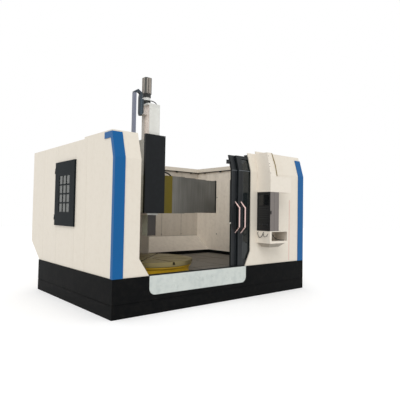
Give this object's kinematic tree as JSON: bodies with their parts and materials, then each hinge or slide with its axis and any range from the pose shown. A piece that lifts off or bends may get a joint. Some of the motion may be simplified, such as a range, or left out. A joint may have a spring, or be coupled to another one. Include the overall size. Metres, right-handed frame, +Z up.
{
  "type": "cnc vertical lathe",
  "caption": "Single-column vertical lathe: round T-slot table on a skirted base, ram and cross beam in an open-topped room with sliding doors.",
  "frame": {"origin": "centre of the base's footprint on the floor", "axes": "+X to the right along the front, +Y to the rear, +Z up along the table axis"},
  "size_m": [4.2163, 3.66, 3.8],
  "materials": {
    "base_black": "satin black enamel",
    "deck_grey": "worn grey-brown paint",
    "bright_plate": "bright sheet under a pale film",
    "shell_white": "off-white powder coat",
    "trim_blue": "gloss blue enamel",
    "hatch_black": "satin black powder coat",
    "dark_glass": "tinted safety glass",
    "door_black": "satin black powder coat",
    "handle_chrome": "polished bar",
    "rail_black": "dark enamel",
    "cast_yellow": "yellow enamel on a casting",
    "table_iron": "turned cast iron with an oil film",
    "saddle_olive": "olive yellow enamel",
    "cover_steel": "brushed sheet steel",
    "hood_black": "satin black enamel",
    "ram_white": "pale grey enamel",
    "tool_dark": "oiled dark steel",
    "motor_grey": "dark grey enamel",
    "chain_plastic": "moulded nylon links",
    "post_grey": "blue-grey enamel",
    "panel_beige": "beige powder coat",
    "pendant_dark": "textured dark enamel"
  },
  "bodies": {
    "root": {"base_plinth": "base_black", "skirt_front": "base_black", "skirt_rear": "base_black", "side_skirts": "base_black", "chip_deck": "deck_grey", "apron_plate": "bright_plate", "left_front_panel": "shell_white", "right_front_panel": "shell_white", "left_side_panels": "shell_white", "hatch_surround": "shell_white", "right_side_panel": "shell_white", "rear_slope": "shell_white", "rear_panel_left": "shell_white", "rear_panel_middle": "shell_white", "rear_panel_right": "shell_white", "top_rails": "shell_white", "left_corner_trim": "trim_blue", "right_corner_trim": "trim_blue", "hatch_hinges": "hatch_black", "door_rail": "rail_black", "door_guide": "rail_black", "table_base": "cast_yellow", "column": "cast_yellow", "column_sheets": "shell_white", "cross_beam": "cast_yellow", "beam_end_plates": "rail_black", "cover_right_4": "cover_steel", "cover_left_4": "cover_steel", "panel_riser": "panel_beige", "panel_arm": "panel_beige", "operator_panel": "pendant_dark", "keyboard_shelf": "panel_beige"},
    "table": {"table_disc": "table_iron", "table_face": "table_iron"},
    "saddle": {"saddle_plate": "saddle_olive", "ram_tower": "rail_black", "ram_guides": "rail_black", "ram_cover": "hood_black", "chain_post": "post_grey", "cover_right_1": "cover_steel", "cover_left_1": "cover_steel"},
    "cover_right_2": {"cover_right_2": "cover_steel"},
    "cover_right_3": {"cover_right_3": "cover_steel"},
    "cover_left_2": {"cover_left_2": "cover_steel"},
    "cover_left_3": {"cover_left_3": "cover_steel"},
    "ram": {"ram_column": "ram_white", "tool_block": "tool_dark", "servo_motor": "motor_grey", "cable_chain": "chain_plastic"},
    "inner_door": {"inner_door_frame": "door_black", "inner_door_glass": "dark_glass", "inner_door_handle": "handle_chrome"},
    "outer_door": {"outer_door_frame": "door_black", "outer_door_glass": "dark_glass", "outer_door_handle": "handle_chrome"},
    "side_hatch": {"hatch_leaf": "hatch_black", "hatch_glass": "dark_glass"}
  },
  "joints": [
    {"name": "table_spin", "type": "hinge", "parent": "root", "child": "table", "pos_m": [-0.906, -0.458, 0.6], "axis": [0, 0, 1], "continuous": true},
    {"name": "saddle_slide", "type": "slide", "parent": "root", "child": "saddle", "axis": [1, 0, 0], "range_m": [-0.05, 0.75]},
    {"name": "cover_right_2_slide", "type": "slide", "parent": "root", "child": "cover_right_2", "axis": [1, 0, 0], "range_m": [-0.034, 0.501]},
    {"name": "cover_right_3_slide", "type": "slide", "parent": "root", "child": "cover_right_3", "axis": [1, 0, 0], "range_m": [-0.017, 0.251]},
    {"name": "cover_left_2_slide", "type": "slide", "parent": "root", "child": "cover_left_2", "axis": [1, 0, 0], "range_m": [-0.034, 0.501]},
    {"name": "cover_left_3_slide", "type": "slide", "parent": "root", "child": "cover_left_3", "axis": [1, 0, 0], "range_m": [-0.017, 0.251]},
    {"name": "ram_slide", "type": "slide", "parent": "saddle", "child": "ram", "axis": [0, 0, 1], "range_m": [-0.34, 0.35]},
    {"name": "inner_door_slide", "type": "slide", "parent": "root", "child": "inner_door", "axis": [-1, 0, 0], "range_m": [0, 1.87]},
    {"name": "outer_door_slide", "type": "slide", "parent": "root", "child": "outer_door", "axis": [-1, 0, 0], "range_m": [0, 0.861]},
    {"name": "side_hatch_hinge", "type": "hinge", "parent": "root", "child": "side_hatch", "pos_m": [-2.1023, 0.711, 1.75], "axis": [0, 0, -1], "range_deg": [0, 110]}
  ],
  "couplings": [
    {"joint": "cover_right_2_slide", "follows": "saddle_slide", "ratio": 0.6667},
    {"joint": "cover_right_3_slide", "follows": "saddle_slide", "ratio": 0.3333},
    {"joint": "cover_left_2_slide", "follows": "saddle_slide", "ratio": 0.6667},
    {"joint": "cover_left_3_slide", "follows": "saddle_slide", "ratio": 0.3333},
    {"joint": "outer_door_slide", "follows": "inner_door_slide", "ratio": 0.46}
  ]
}
